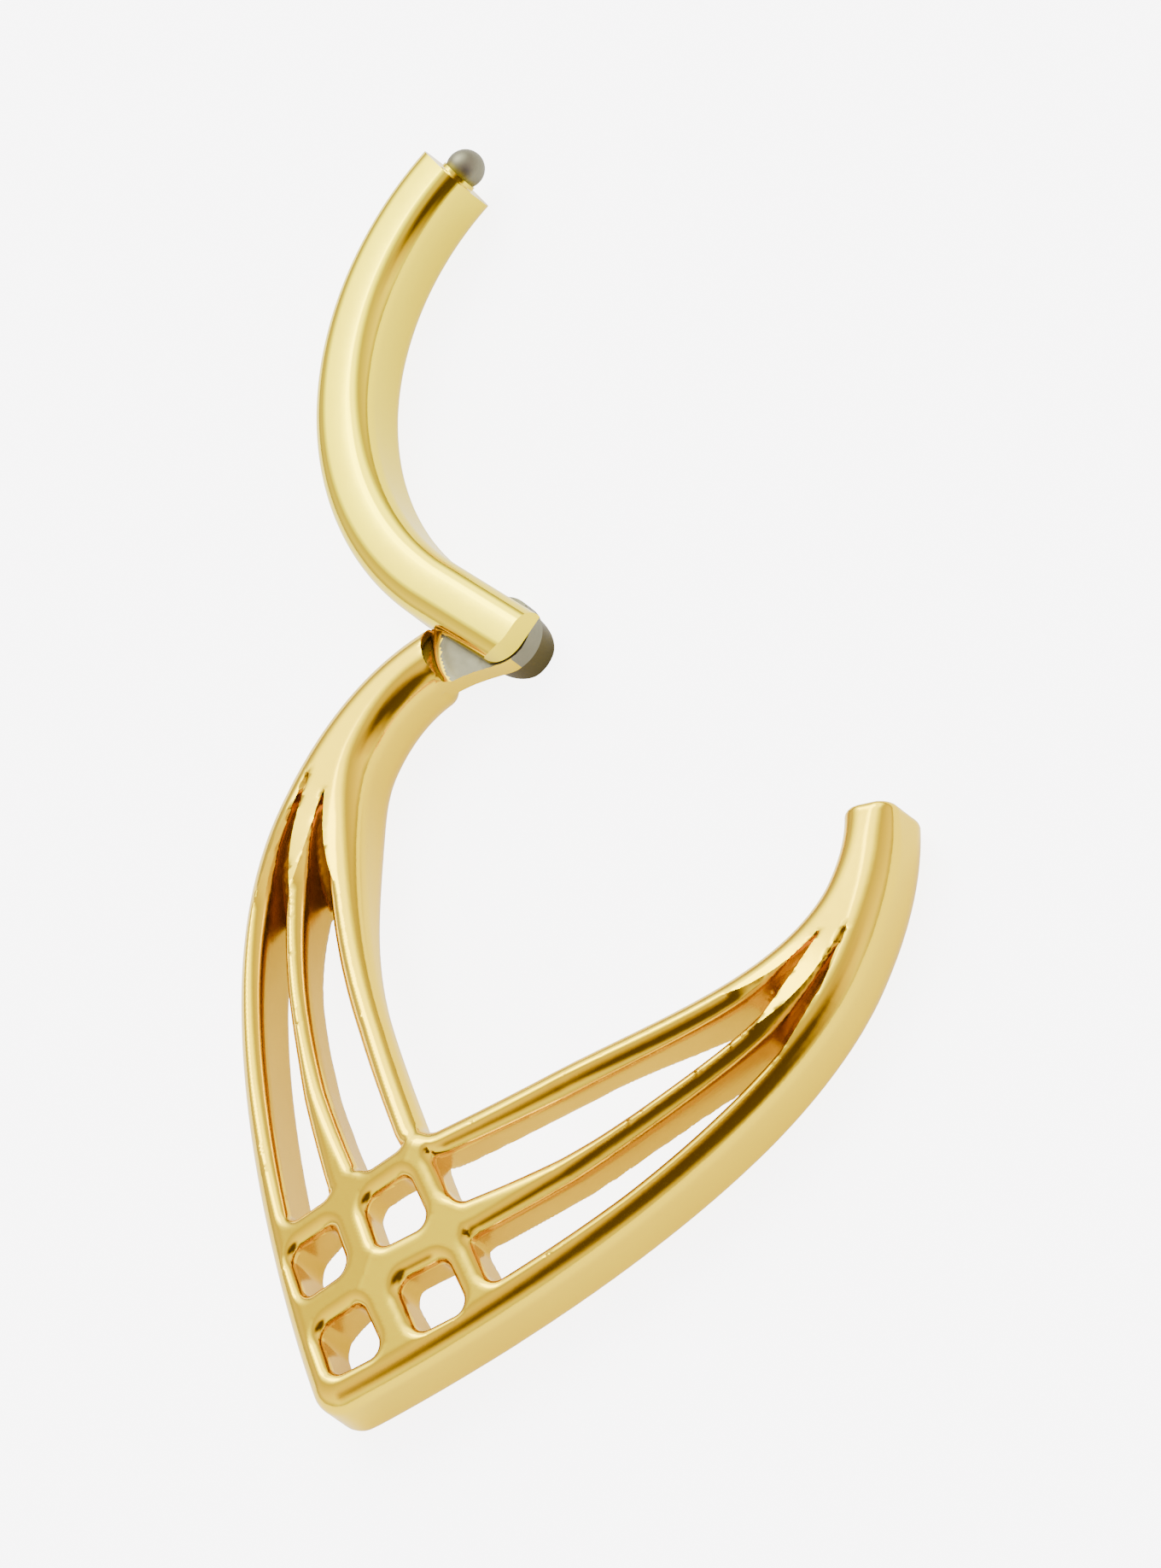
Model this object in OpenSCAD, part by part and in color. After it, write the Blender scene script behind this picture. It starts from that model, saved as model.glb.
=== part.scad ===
// Hinged septum ring with a V-shaped lattice front.
// The ring lies on its back: X runs from the hinge side to the catch side, Y from the
// point of the V to the wearing bar, and Z up out of the front face.
// The origin is in the middle of the opening, at its widest level, on the plane it lies on.
// The gate stands open, turned about the hinge pin.

/* [Bar] */
// thickness of the bar, front to back
bar_thick = 1.2; // [0.8:0.05:2]
// rounding of the bar's edges at the ends and along the gate
bar_round = 0.3; // [0.05:0.01:0.4]
// rounding of the back edges of the arms
arm_back_round = 0.42; // [0.05:0.01:0.5]

/* [Front outline] */
// Levels here and at the hinge are counted up from the lattice's centre.
// half of the V's opening angle
v_half = 48.5; // [35:0.5:60]
// where the two outer sides of the V would meet
outer_point = -2.25; // [-4:0.05:-1]
// rounding of the outer point
outer_corner = 0.5; // [0.1:0.05:1.5]
// half of the greatest outside width
outer_half = 5.81; // [4.5:0.01:8]
// height of the greatest outside width
outer_level = 6.5; // [5:0.05:9]
// where the two inner sides of the V would meet
inner_point = 2.2; // [1:0.05:4]
// rounding of the inner corner
inner_corner = 0.3; // [0.1:0.05:1.5]
// half of the greatest inside width
inner_half = 4.54; // [3.5:0.01:7]
// height of the greatest inside width
inner_level = 7.7; // [6:0.05:10]
// where each arm's middle line ends, across from the middle
arm_end_x = 3.42; // [2:0.01:5]
// where each arm's middle line ends, up the ring
arm_end_y = 10.1; // [8:0.01:13]
// heading of each arm at its end
arm_heading = 140.5; // [110:0.5:160]
// how far each arm's end stands out past the gate, on either side
arm_margin = 0.02; // [0:0.01:0.1]
// how far the front stands forward per millimetre in from the outer edge
front_slope = 0.18; // [0:0.01:0.3]
// depth of the hollow back at the inner edge of the V
back_depth = 1.05; // [0:0.01:1.2]
// how fast the hollow deepens in from the outer edge, as a power
back_power = 2.6; // [1:0.1:4]
// edge rounding of the lattice front
front_round = 0.18; // [0.05:0.01:0.3]

/* [Lattice] */
// spacing of the crossing bands
pitch = 1.5; // [1:0.05:2]
// width of one band, wall to wall
band = 0.61; // [0.3:0.01:0.9]
// corner rounding of the openings
hole_corner = 0.22; // [0.05:0.01:0.4]
// softening of the band edges in the lattice
band_edge = 0.12; // [0.03:0.01:0.2]
// softening of the band edges up the arms
arm_edge = 0.26; // [0.05:0.01:0.4]
// softening of the openings on the back
back_edge = 0.06; // [0.02:0.01:0.15]
// width of the inner band where the window beside it ends
inner_band = 0.62; // [0.3:0.01:0.9]
// width of the middle band up the arm
middle_band = 0.38; // [0.3:0.01:0.9]
// part of the open width up the arm that the outer window takes
outer_share = 0.44; // [0.3:0.01:0.7]
// width of the outer band up the arm
outer_band = 0.4; // [0.3:0.01:0.9]
// how far up the arm the inner window is cut through
inner_through = 0.84; // [0.5:0.01:0.95]
// how far up the arm the outer window is cut through
outer_through = 0.81; // [0.5:0.01:0.95]
// how far up the arm the inner groove runs on
inner_groove = 1.25; // [1:0.01:1.8]
// how far up the arm the outer groove runs on
outer_groove = 1.4; // [1:0.01:1.8]

/* [Gate] */
// width of the gate, seen from the front
gate_wide = 1.0; // [0.8:0.05:2]
// radius of the gate's centre line
gate_radius = 4.66; // [3.5:0.01:7]
// opening angle of the gate in the rest pose
gate_open = 133; // [0:0.5:140]
// centre of the gate's curve, across from the pin when open
gate_offset_x = -0.4; // [-1:0.01:1]
// how far past its own radius the centre of the gate's curve lies above the pin when open
gate_lift = 0.2; // [0.1:0.01:0.5]
// heading of the gate's free end about its centre when open
gate_end_heading = 157.2; // [140:0.5:175]
// how far the front ear runs past the pin, over half the gate's width
ear_over_extra = 0.04; // [0:0.01:0.1]

/* [Hinge] */
// place of the hinge pin, across
pin_x = -3.47; // [-5:0.01:-2]
// place of the hinge pin, up the ring
pin_y = 10.12; // [8:0.01:13]
// radius of the hinge pin
pin_r = 0.22; // [0.12:0.01:0.3]
// radius of the tongue's round end, over half the gate's width
tongue_extra = 0.06; // [0.02:0.01:0.2]
// radius of the round back ear, over half the gate's width
ear_extra = 0.01; // [0:0.01:0.1]
// radius that the ears turn in, cut out of the arm, over the gate's width
shoulder_extra = 0.13; // [0.1:0.01:0.5]
// tongue thickness as a part of the bar's
tongue_part = 0.27; // [0.2:0.01:0.4]
// depth of the blind hole for the pin in the front ear
pin_blind = 0.2; // [0.05:0.01:0.3]
// gap on each face of the tongue
side_gap = 0.03; // [0.01:0.005:0.08]
// radial gap where the tongue turns on the pin
turn_gap = 0.03; // [0.01:0.005:0.08]
// radial gap where a pin is fixed
press_gap = 0.01; // [0.005:0.005:0.03]

/* [Catch] */
// radius of the ball on the gate's free end
ball_r = 0.3; // [0.15:0.01:0.35]
// how far the ball's centre stands out of the gate
ball_out = 0.2; // [0.05:0.01:0.3]
// radius of the neck behind the ball
neck_r = 0.22; // [0.1:0.01:0.26]
// radius of the collar at the gate's end face
collar_r = 0.3; // [0.15:0.01:0.33]
// height of the collar
collar_high = 0.07; // [0.02:0.01:0.15]
// length of the neck sunk in the gate
neck_sunk = 0.6; // [0.2:0.05:1.2]
// gap round the ball in its socket
socket_gap = 0.03; // [0.02:0.01:0.08]
// gap between the closed gate and the arm's end face
end_gap = 0.04; // [0.02:0.01:0.1]

/* [Hidden] */
pin = [pin_x, pin_y];
v_dir = [sin(v_half), cos(v_half)];
v_other = [-sin(v_half), cos(v_half)];
arm_dir = [cos(arm_heading), sin(arm_heading)];
arm_out = [sin(arm_heading), -cos(arm_heading)];
arm_end = [arm_end_x, arm_end_y];
arm_half = gate_wide / 2 + arm_margin;
outer_end = arm_end + arm_half * arm_out;
inner_end = arm_end - arm_half * arm_out;

// handle lengths of the outline curves: after the corner, below the widest level, above it, and
// before the arm's end, as parts of the sizes that they follow
outer_handles = [0.172 * outer_half, 0.52 * outer_level, 0.45 * outer_level, 0.35 * gate_wide];
inner_handles = [0.11 * inner_half, 0.22 * inner_level, 0.19 * inner_level, 0.42 * gate_wide];

// steps along a corner, the V side and the upper arm
corner_steps = 3;
side_steps = 14;
arm_steps = 8;
stations = corner_steps + side_steps + arm_steps;

// half opening of a lattice hole, wall to wall
hole_half = (pitch - band) / 2;
// where the windows start: the far side of the inner band that crosses there
window_start = inner_point * sin(v_half);

// hinge and gate levels
tongue_low = bar_thick * (1 - tongue_part) / 2;
tongue_high = bar_thick - tongue_low;
ear_over = gate_wide / 2 + ear_over_extra;
tongue_r = gate_wide / 2 + tongue_extra;
ear_r = gate_wide / 2 + ear_extra;
shoulder_r = gate_wide + shoulder_extra;
gate_centre = pin + [gate_offset_x, gate_radius + gate_lift];
to_pin = pin - gate_centre;
// the gate runs straight from where its curve points at the pin
straight_heading = atan2(to_pin[1], to_pin[0]) + 360 - acos(gate_radius / norm(to_pin));
straight_dir = straight_heading + 90;
gate_end = gate_centre + gate_radius * [cos(gate_end_heading), sin(gate_end_heading)];
gate_end_out = gate_end_heading - 90;

// the free end when the gate is closed, and the ball's way into the arm
reach = norm(gate_end - pin);
closed_heading = atan2(gate_end[1] - pin[1], gate_end[0] - pin[0]) - gate_open;
catch_point = pin + reach * [cos(closed_heading), sin(closed_heading)];
catch_out = gate_end_out - gate_open;
catch_travel = closed_heading - 90;

// a size that runs past every surface, and a small one for clean cuts
past = 3;
skin = 0.01;

// Shared shapes

function flip(p) = [-p[0], p[1]];
function mix(a, b, f) = a + (b - a) * f;
function curve(a, b, c, d, t) =
    pow(1 - t, 3) * a + 3 * pow(1 - t, 2) * t * b + 3 * (1 - t) * t * t * c + t * t * t * d;
function unit(v) = v / norm(v);
function to_segment(p, a, b) =
    let (d = b - a, f = max(0, min(1, ((p - a) * d) / (d * d)))) norm(p - a - f * d);
function to_line(p, line) = min([for (i = [0:len(line) - 2]) to_segment(p, line[i], line[i + 1])]);

// the two curves of one side of an outline: the V's side, then the arm up to its end
function corner_middle(point, corner) = [0, point + corner / sin(v_half)];
function side_curves(point, corner, handles, half, level, end) =
    let (
        start = corner_middle(point, corner) + corner * [cos(v_half), -sin(v_half)],
        wide = [half, level]
    )
    [
        [start, start + handles[0] * v_dir, wide - [0, handles[1]], wide],
        [wide, wide + [0, handles[2]], end - handles[3] * arm_dir, end]
    ];
function along(curves, s) =
    let (c = curves[s < 1 ? 0 : 1]) curve(c[0], c[1], c[2], c[3], s < 1 ? s : s - 1);
function side_line(point, corner, curves) = concat(
    [for (k = [0:corner_steps - 1])
        let (a = -90 + k * (90 - v_half) / corner_steps)
        corner_middle(point, corner) + corner * [cos(a), sin(a)]],
    [for (k = [0:side_steps - 1]) along(curves, k / side_steps)],
    [for (k = [0:arm_steps]) along(curves, 1 + k / arm_steps)]
);

outer_curves = side_curves(outer_point, outer_corner, outer_handles, outer_half, outer_level, outer_end);
inner_curves = side_curves(inner_point, inner_corner, inner_handles, inner_half, inner_level, inner_end);
outer_line = side_line(outer_point, outer_corner, outer_curves);
inner_line = side_line(inner_point, inner_corner, inner_curves);

// the slopes fade out from the V to the plain bar, between these distances from its two levels
fade_after = 1.4;
fade_before = 0.7;
fade_low = inner_point + fade_after;
fade_high = inner_level - fade_before;
function fade(y) = let (f = max(0, min(1, (fade_high - y) / (fade_high - fade_low)))) f * f * (3 - 2 * f);
function front_at(p) =
    bar_thick + front_slope * to_line([abs(p[0]), p[1]], outer_line) * fade(p[1]);
panel_wide = (inner_point - outer_point) * sin(v_half);
function hollow(d) = back_depth * (1 - pow(1 - min(1, d / panel_wide), back_power));
function back_at(p) = hollow(to_line([abs(p[0]), p[1]], outer_line)) * fade(p[1]);

// points round a corner of a section, from one heading to the next
round_steps = 3;
function round_corner(centre, r, from) =
    [for (k = [0:round_steps]) let (a = from + k * 90 / round_steps) centre + r * [cos(a), sin(a)]];

// section from the outer line to the inner line, as [distance in, height] pairs; lean is how much
// shorter the way square to the outer line is
back_steps = 7;
function section(wide, lean, turn, r, back) =
    let (
        rise = front_slope * lean * turn,
        low = function (d) hollow(d * lean) * turn
    )
    concat(
        round_corner([back, low(back) + back], back, 180),
        [for (k = [1:back_steps - 1])
            let (d = mix(back, wide - back, k / back_steps)) [d, low(d)]],
        round_corner([wide - back, low(wide - back) + back], back, 270),
        round_corner([wide - r, bar_thick + rise * (wide - r) - r], r, 0),
        round_corner([r, bar_thick + rise * r - r], r, 90)
    );

// triangles between successive rings of equal length
function sleeve(rings, count) =
    [for (j = [0:rings - 2], k = [0:count - 1])
        let (a = j * count + k, b = j * count + (k + 1) % count)
        each [[a, a + count, b + count], [a, b + count, b]]];

// solid through successive rings, closed flat at both ends
module through_rings(rings) {
    count = len(rings[0]);
    last = (len(rings) - 1) * count;
    polyhedron(
        points = [for (r = rings) each r],
        faces = concat(
            [[for (k = [0:count - 1]) k]],
            sleeve(len(rings), count),
            [[for (k = [count - 1:-1:0]) last + k]]
        )
    );
}

// ring of points round the bar where it runs between two places of the outlines
function ring_at(outer, inner) =
    let (
        way_in = inner - outer,
        wide = norm(way_in),
        turn = fade(inner[1]),
        r = mix(bar_round, front_round, turn),
        back = mix(arm_back_round, front_round, turn),
        lean = to_line([abs(inner[0]), inner[1]], outer_line) / wide,
        step = unit(way_in)
    )
    [for (q = section(wide, lean, turn, r, back))
        [outer[0] + step[0] * q[0], outer[1] + step[1] * q[0], q[1]]];

// the whole front before it is pierced, from the hinge arm round the V to the catch arm
module front_body() {
    left = [for (i = [stations:-1:1]) ring_at(flip(outer_line[i]), flip(inner_line[i]))];
    right = [for (i = [0:stations]) ring_at(outer_line[i], inner_line[i])];
    through_rings(concat(left, right));
}

// levels of a cutter from below to above: part of the front edge softening, part of the back
// one, and which surface the level follows
edge_turns = [0, 30, 60, 90];
function cutter_levels() = concat(
    [["low", 0, 1], ["back", 0, 1], ["back", 0, 0]],
    [for (a = edge_turns) ["front", 1 - cos(a), 1 - sin(a)]],
    [["high", 1, 0]]
);

// widening and height of a cutter point on one level
function level_grow(level, edge) =
    level[0] == "low" ? back_edge
    : level[0] == "back" ? back_edge * level[2]
    : edge * level[1];
function level_height(level, p, edge) =
    level[0] == "low" ? -past
    : level[0] == "back" ? back_at(p) + (1 - level[2]) * back_edge
    : level[0] == "front" ? front_at(p) - edge * level[2]
    : bar_thick + past;

// a place in the lattice, by its distances across the two directions of bands
function lattice_place(a, b) = (a * v_dir + b * v_other) / sin(2 * v_half);

// rounded diamond hole of the lattice: its corners lie right, up, left and down
function diamond(middle, grow) =
    let (inner = hole_half - hole_corner)
    [for (k = [0:3], step = [0:round_steps])
        let (
            side = 90 - v_half,
            from = k == 0 ? -side : k == 1 ? side : k == 2 ? 180 - side : 180 + side,
            turn = k % 2 == 0 ? 2 * side : 2 * v_half,
            a = from + turn * step / round_steps,
            place = lattice_place(k < 2 ? inner : -inner, k == 1 || k == 2 ? inner : -inner)
        )
        middle + place + (hole_corner + grow) * [cos(a), sin(a)]];

module diamond_cutter(middle) {
    through_rings([for (level = cutter_levels())
        [for (p = diamond(middle, level_grow(level, band_edge)))
            [p[0], p[1], level_height(level, p, band_edge)]]]);
}

// The two windows of an arm lie between its three bands. A place on the arm is s, from 0 at the
// V's point to 1 at the widest level and on to 2 at the arm's end.
function inward(s) =
    let (d = along(outer_curves, s + skin) - along(outer_curves, s - skin)) unit([-d[1], d[0]]);
function cross_at(p, n, a, b) =
    let (d = b - a, q = n[0] * d[1] - n[1] * d[0], e = a - p)
    abs(q) < skin * skin ? [-1, -1] : [(e[0] * d[1] - e[1] * d[0]) / q, (e[0] * n[1] - e[1] * n[0]) / q];
// the place on the arm where the windows start, found by halving
halvings = 14;
function start_place(low = 0, high = 1, turns = halvings) =
    let (middle = (low + high) / 2)
    turns == 0 ? middle
    : along(outer_curves, middle) * [cos(v_half), sin(v_half)] < window_start
        ? start_place(middle, high, turns - 1)
    : start_place(low, middle, turns - 1);
place_0 = start_place();
// how fast, going up the arm, the windows turn, split the panel, narrow the middle band, widen
// their softened edges and let the grooves run out
turn_rate = 4;
split_rate = 4;
narrow_rate = 2;
widen_rate = 3;
run_out_rate = 1.8;
// the way across the panel: along the lattice at the start, then square to the outer edge
function across(s) = unit(mix(v_other, inward(s), max(0, min(1, turn_rate * (s - place_0)))));
function panel_at(s) =
    let (p = along(outer_curves, s), n = across(s))
    min([panel_wide, for (i = [0:len(inner_line) - 2])
        let (hit = cross_at(p, n, inner_line[i], inner_line[i + 1]))
        if (hit[0] > 0 && hit[1] >= 0 && hit[1] <= 1) hit[0]]);

// widths of the outer, middle and inner bands at a place, and of the window beside each
rim_outer = -outer_point * sin(v_half) - pitch / 2 - hole_half;
rim_inner = inner_point * sin(v_half) - pitch / 2 - hole_half;
function way(s) = max(0, min(1, (s - place_0) / (1 - place_0)));
function bands(s) =
    let (f = way(s), g = sin(90 * min(1, narrow_rate * f)))
    [mix(rim_outer, outer_band, f), mix(band, middle_band, g), mix(rim_inner, inner_band, f)];
function window_half(s, inner) =
    let (
        b = bands(s),
        share = mix(0.5, outer_share, min(1, split_rate * way(s)))
    )
    (inner ? 1 - share : share) * (panel_at(s) - b[0] - b[1] - b[2]) / 2;
function window_middle(s, inner) =
    let (b = bands(s), h = window_half(s, inner)) inner ? panel_at(s) - b[2] - h : b[0] + h;
// softening of the band edges: wider up the arm, then fading out
function window_edge(s, inner) =
    mix(band_edge, arm_edge, min(1, widen_rate * way(s)))
        * min(1, max(0, run_out_rate * ((inner ? inner_groove : outer_groove) - s)));

// where a window, widened by a part of the edge softening, closes
function window_stop(inner, part, low, high, turns = halvings) =
    let (middle = (low + high) / 2)
    turns == 0 ? middle
    : window_half(middle, inner) + part * window_edge(middle, inner) > 0
        ? window_stop(inner, part, middle, high, turns - 1)
    : window_stop(inner, part, low, middle, turns - 1);

// outline of a window on one level: the square start, both sides, and a closing end
start_turns = [0, 30, 60];
start_long = 0.02;
through_steps = 11;
close_steps = 6;
close_long = 0.04;
function window_ring(inner, level) =
    let (
        groove = inner ? inner_groove : outer_groove,
        through = inner ? inner_through : outer_through,
        front = level[0] == "front" || level[0] == "high",
        part = front ? level[1] : 0,
        extra = front ? 0 : level_grow(level, 0),
        stop = part == 0 ? through : max(through + skin, window_stop(inner, part, place_0, groove)),
        grow = part * band_edge + extra,
        corner = hole_corner + grow,
        places = concat(
            [for (a = start_turns) [corner * (1 - cos(a)) - grow, corner * (1 - sin(a)), 0, 0]],
            [for (k = [0:through_steps])
                [0, 0, mix(place_0 + start_long, through - close_long, k / through_steps), 0]],
            [for (k = [1:close_steps])
                let (f = sin(90 * k / close_steps)) [0, 0, mix(through - close_long, stop, f), f]]
        ),
        rows = [for (q = places)
            let (
                on = q[2] > 0,
                s = on ? q[2] : place_0,
                n = across(s),
                edge = on ? window_edge(s, inner) : band_edge,
                round = part == 0 ? sqrt(1 - q[3] * q[3]) : 1,
                half = max(skin, (window_half(s, inner) + part * edge + extra - q[1]) * round),
                middle = along(outer_curves, s) + window_middle(s, inner) * n
                    + (on ? [0, 0] : q[0] * v_dir)
            )
            [middle - half * n, middle + half * n, edge]]
    )
    concat(
        [for (r = rows) [r[0], r[2]]],
        [for (i = [len(rows) - 1:-1:0]) [rows[i][1], rows[i][2]]]
    );

module window_cutter(inner) {
    levels = cutter_levels();
    rings = [for (level = levels)
        [for (q = window_ring(inner, level))
            [q[0][0], q[0][1], level_height(level, q[0], q[1])]]];
    count = len(rings[0]);
    last = (len(rings) - 1) * count;
    polyhedron(
        points = [for (r = rings) each r],
        faces = concat(
            [for (k = [0:count / 2 - 2]) [k, k + 1, count - 2 - k, count - 1 - k]],
            sleeve(len(rings), count),
            [for (k = [0:count / 2 - 2])
                [last + count - 1 - k, last + count - 2 - k, last + k + 1, last + k]]
        )
    );
}

module piercings() {
    for (along = [-1, 1], across = [-1, 1])
        diamond_cutter(pitch / 2 * lattice_place(along, across));
}

module windows() {
    window_cutter(true);
    window_cutter(false);
}

// ring of points round the gate where its line faces a heading: a rectangle with round corners
bar_steps = 4;
function gate_ring(middle, heading) =
    [for (side = [0:3], k = [0:bar_steps])
        let (
            a = side * 90 + k * 90 / bar_steps,
            x = (side == 0 || side == 3 ? 1 : -1) * (gate_wide / 2 - bar_round) + bar_round * cos(a),
            y = (side < 2 ? 1 : -1) * (bar_thick / 2 - bar_round) + bar_round * sin(a)
        )
        [middle[0] + x * cos(heading), middle[1] + x * sin(heading), bar_thick / 2 + y]];

// the gate before its ears are cut: straight from beyond the pin, then curved to the free end
gate_steps = 32;
module gate_body() {
    beyond = pin + gate_wide * [cos(straight_dir), sin(straight_dir)];
    through_rings(concat(
        [gate_ring(beyond, straight_heading)],
        [for (k = [0:gate_steps])
            let (a = mix(straight_heading, gate_end_heading, k / gate_steps))
            gate_ring(gate_centre + gate_radius * [cos(a), sin(a)], a)]
    ));
}

// moves a sub-part from the lattice's centre to the ring's own origin
module placed() {
    translate([0, -inner_level, 0]) children();
}

// lattice V with both arms, the hinge tongue and the catch socket, in one piece
module front_frame() {
    color("gold") placed() difference() {
        union() {
            front_body();
            translate([pin_x, pin_y, bar_round])
                cylinder(h = bar_thick - 2 * bar_round, r = tongue_r, $fn = 48);
        }
        piercings();
        windows();
        mirror([1, 0, 0]) windows();
        shoulders();
        translate([pin_x, pin_y, -past])
            cylinder(h = 3 * past, r = pin_r + turn_gap, $fn = 40);
        catch_cut();
    }
}

// room for the two ears, in front of the tongue and behind it
module shoulders() {
    translate([pin_x, pin_y, tongue_high]) cylinder(h = past, r = shoulder_r, $fn = 64);
    translate([pin_x, pin_y, tongue_low - past]) cylinder(h = past, r = shoulder_r, $fn = 64);
}

// steps of the arcs drawn by points, at the catch and on the front ear
arc_steps = 8;

// the arm is cut off square to the bar and takes the ball on the line it swings in by
module catch_cut() {
    translate([catch_point[0], catch_point[1], bar_thick / 2]) {
        rotate([0, 0, catch_out]) translate([end_gap - 2 * past, -past, -past])
            cube([2 * past, 2 * past, 2 * past]);
        rotate([0, 0, catch_out]) rotate([0, 90, 0])
            cylinder(h = collar_high + 2 * end_gap, r = collar_r + 2 * socket_gap, $fn = 32);
        rotate([0, 0, catch_out]) translate([ball_out, 0, 0])
            rotate([0, 0, catch_travel - catch_out]) rotate([0, 90, 0])
                rotate_extrude($fn = 32) polygon(concat(
                    [[0, -past], [ball_r + socket_gap, -past]],
                    [for (k = [0:arc_steps])
                        let (a = k * 90 / arc_steps) (ball_r + socket_gap) * [cos(a), sin(a)]]
                ));
    }
}

// wearing bar with two ears that hold the tongue between them
module gate() {
    color("khaki") placed() difference() {
        gate_body();
        ear_shapes();
        tongue_slot();
        translate([pin_x, pin_y, -past])
            cylinder(h = past + tongue_high + pin_blind, r = pin_r + press_gap, $fn = 40);
        translate([gate_end[0], gate_end[1], bar_thick / 2]) rotate([0, 0, gate_end_out])
            rotate([0, -90, 0]) translate([0, 0, -past])
                cylinder(h = past + neck_sunk + press_gap, r = neck_r + press_gap, $fn = 32);
    }
}

// rounds the back ear about the pin, and ends the front ear with its outer corner round
module ear_shapes() {
    translate([pin_x, pin_y, 0]) rotate([0, 0, straight_dir]) {
        translate([0, 0, tongue_low - past]) difference() {
            translate([0, -past, 0]) cube([past, 2 * past, past + skin]);
            translate([0, 0, -skin]) cylinder(h = past + 3 * skin, r = ear_r, $fn = 48);
        }
        translate([0, 0, tongue_high - skin]) linear_extrude(height = past) polygon(concat(
            [[0, -past], [past, -past], [past, past], [ear_over, past]],
            [for (k = [0:arc_steps]) let (a = -k * 90 / arc_steps) ear_over * [cos(a), sin(a)]]
        ));
    }
}

// room for the tongue and for the arm behind it, between the ears
module tongue_slot() {
    slot_high = tongue_high - tongue_low + 2 * side_gap;
    translate([-arm_end_x, arm_end_y, tongue_low - side_gap]) rotate([0, 0, -arm_heading])
        translate([0, -arm_half - 2 * side_gap, 0])
            cube([past, 2 * arm_half + 4 * side_gap, slot_high]);
    translate([pin_x, pin_y, tongue_low - side_gap]) {
        cylinder(h = slot_high, r = tongue_r + 2 * side_gap, $fn = 48);
        rotate([0, 0, straight_dir]) translate([0, -past, 0]) cube([past, 2 * past, slot_high]);
    }
}

// pin through both ears and the tongue
module hinge_pin() {
    color("silver") placed() translate([pin_x, pin_y, skin])
        cylinder(h = tongue_high + pin_blind - 2 * skin, r = pin_r, $fn = 40);
}

// ball, neck and collar that stand out of the gate's free end
module catch_pin() {
    low = -asin((ball_out - collar_high) / ball_r);
    color("silver") placed() translate([gate_end[0], gate_end[1], bar_thick / 2])
        rotate([0, 0, gate_end_out]) rotate([0, 90, 0]) rotate_extrude($fn = 40) polygon(concat(
            [[0, -neck_sunk], [neck_r, -neck_sunk], [neck_r, skin], [collar_r, skin]],
            [[collar_r, collar_high]],
            [for (k = [0:arc_steps])
                let (a = mix(low, 90, k / arc_steps))
                [ball_r * cos(a), ball_out + ball_r * sin(a)]]
        ));
}

front_frame();
gate();
hinge_pin();
catch_pin();
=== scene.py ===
"""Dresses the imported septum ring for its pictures.

Sizes are kept in millimetres, as in the part's source, and counted up from the lattice's centre.
They become metres, about the ring's own origin, where a mesh is made.
"""
import logging
import math
from dataclasses import dataclass, field
from enum import Enum
from typing import Callable

import bmesh
import bpy
import numpy as np
from mathutils import Matrix, Vector


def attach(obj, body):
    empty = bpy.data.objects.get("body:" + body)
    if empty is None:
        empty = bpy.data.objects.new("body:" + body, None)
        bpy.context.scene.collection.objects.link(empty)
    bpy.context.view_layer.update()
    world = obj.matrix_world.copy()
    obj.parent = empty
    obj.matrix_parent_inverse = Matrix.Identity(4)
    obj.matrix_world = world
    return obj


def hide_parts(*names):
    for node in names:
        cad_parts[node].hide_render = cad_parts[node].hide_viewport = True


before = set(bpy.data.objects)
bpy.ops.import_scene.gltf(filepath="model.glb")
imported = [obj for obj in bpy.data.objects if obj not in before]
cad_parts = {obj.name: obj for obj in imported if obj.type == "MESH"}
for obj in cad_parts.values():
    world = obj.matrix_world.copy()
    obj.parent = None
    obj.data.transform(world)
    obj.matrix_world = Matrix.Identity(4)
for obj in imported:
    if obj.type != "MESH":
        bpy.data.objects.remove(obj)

LOG = logging.getLogger("septum_ring")
MM = 0.001
# Level of the ring's own origin above the lattice's centre.
ORIGIN_LEVEL = 7.7
# How far cutters and lines run past what they meet, and how far pieces that touch lap.
PAST = 3.0
LAP = 0.01
# Half the angle of the V, and the place, direction and half width of the right arm's end.
V_HALF = 48.5
ARM_HEADING = 140.5
ARM_END = (3.42, 10.1)
ARM_HALF = 0.52
BAR_THICK = 1.2
# A depth that goes right through everything, and how many points are measured at once.
OPEN = 9.0
ROWS = 6000


def heading(angle: float) -> np.ndarray:
    """Unit vector at an angle in degrees, in the plane of the ring."""
    return np.array([math.cos(math.radians(angle)), math.sin(math.radians(angle))])


def eased(f: np.ndarray) -> np.ndarray:
    """Smooth step from 0 to 1."""
    f = np.clip(f, 0.0, 1.0)
    return f * f * (3 - 2 * f)


def rounded(a: np.ndarray, b: np.ndarray, r: np.ndarray | float) -> np.ndarray:
    """Distance to what lies inside both surfaces, with the edge between them rounded.

    Args:
        a: Distance to the first surface, positive outside it.
        b: Distance to the second surface.
        r: Radius of the rounding.

    Returns:
        The distance to the rounded solid, positive outside it.
    """
    corner = np.hypot(np.maximum(r + a, 0.0), np.maximum(r + b, 0.0))
    return np.minimum(-r, np.maximum(a, b)) + corner


def joined(deep: np.ndarray, more: np.ndarray, soft: float = 0.09) -> np.ndarray:
    """Larger of two depths of cut, with the crest between two cuts softened.

    Args:
        deep: The first depth.
        more: The second depth.
        soft: Reach of the softening.

    Returns:
        The joined depth.
    """
    low, high = np.minimum(deep, more), np.maximum(deep, more)
    reach = np.minimum(soft, low) + 1e-9
    return high + 0.25 * np.maximum(reach - (high - low), 0.0) ** 2 / reach


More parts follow.
